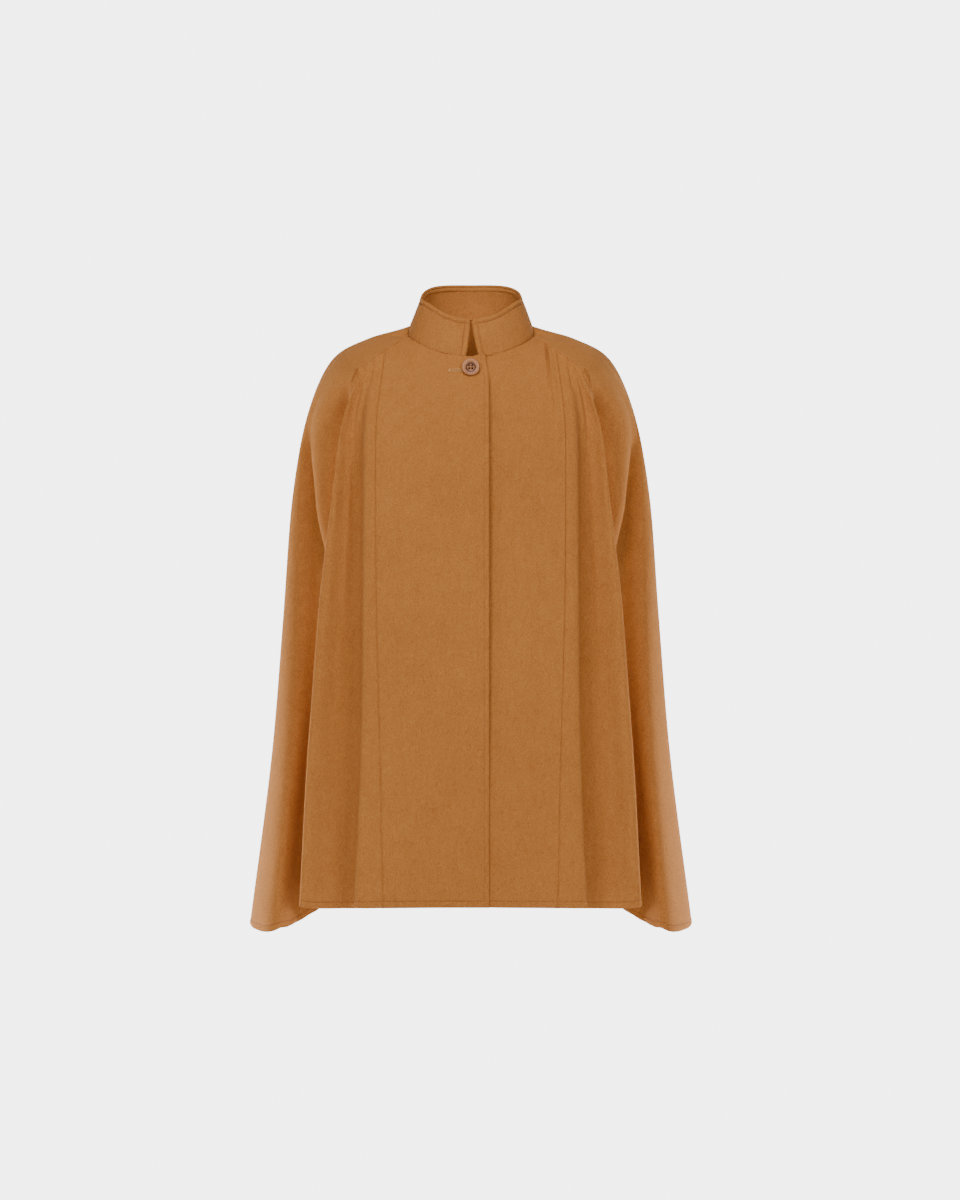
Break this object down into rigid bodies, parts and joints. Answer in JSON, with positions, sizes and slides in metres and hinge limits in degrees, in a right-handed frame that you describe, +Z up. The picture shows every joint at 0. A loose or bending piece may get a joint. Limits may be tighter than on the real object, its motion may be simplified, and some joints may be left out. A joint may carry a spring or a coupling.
{
  "type": "wool cape",
  "caption": "Hip-length wool cape with a stand collar, lapped fronts buttoned at the neck, folded side fronts and raglan shoulder panels, hanging as it is worn",
  "frame": {"origin": "the middle of the neck opening, level with the shoulder ends of the neck seam, where the wearer's neck and shoulders carry the cape", "axes": "+Z is up, the lapped front faces -Y, and +X is the wearer's left, to the right as the picture shows it"},
  "size_m": [0.6324, 0.3803, 0.9227],
  "materials": {
    "wool_collar": "napped",
    "wool_cloth": "napped",
    "horn_button": "satin",
    "sewing_thread": "matt"
  },
  "bodies": {
    "root": {"collar": "wool_collar", "right_centre_front": "wool_cloth", "left_centre_front": "wool_cloth", "right_side_front": "wool_cloth", "left_side_front": "wool_cloth", "right_raglan_panel": "wool_cloth", "left_raglan_panel": "wool_cloth", "back_panel": "wool_cloth", "button": "horn_button", "button_thread": "sewing_thread", "buttonhole_stitching": "sewing_thread"}
  },
  "joints": []
}
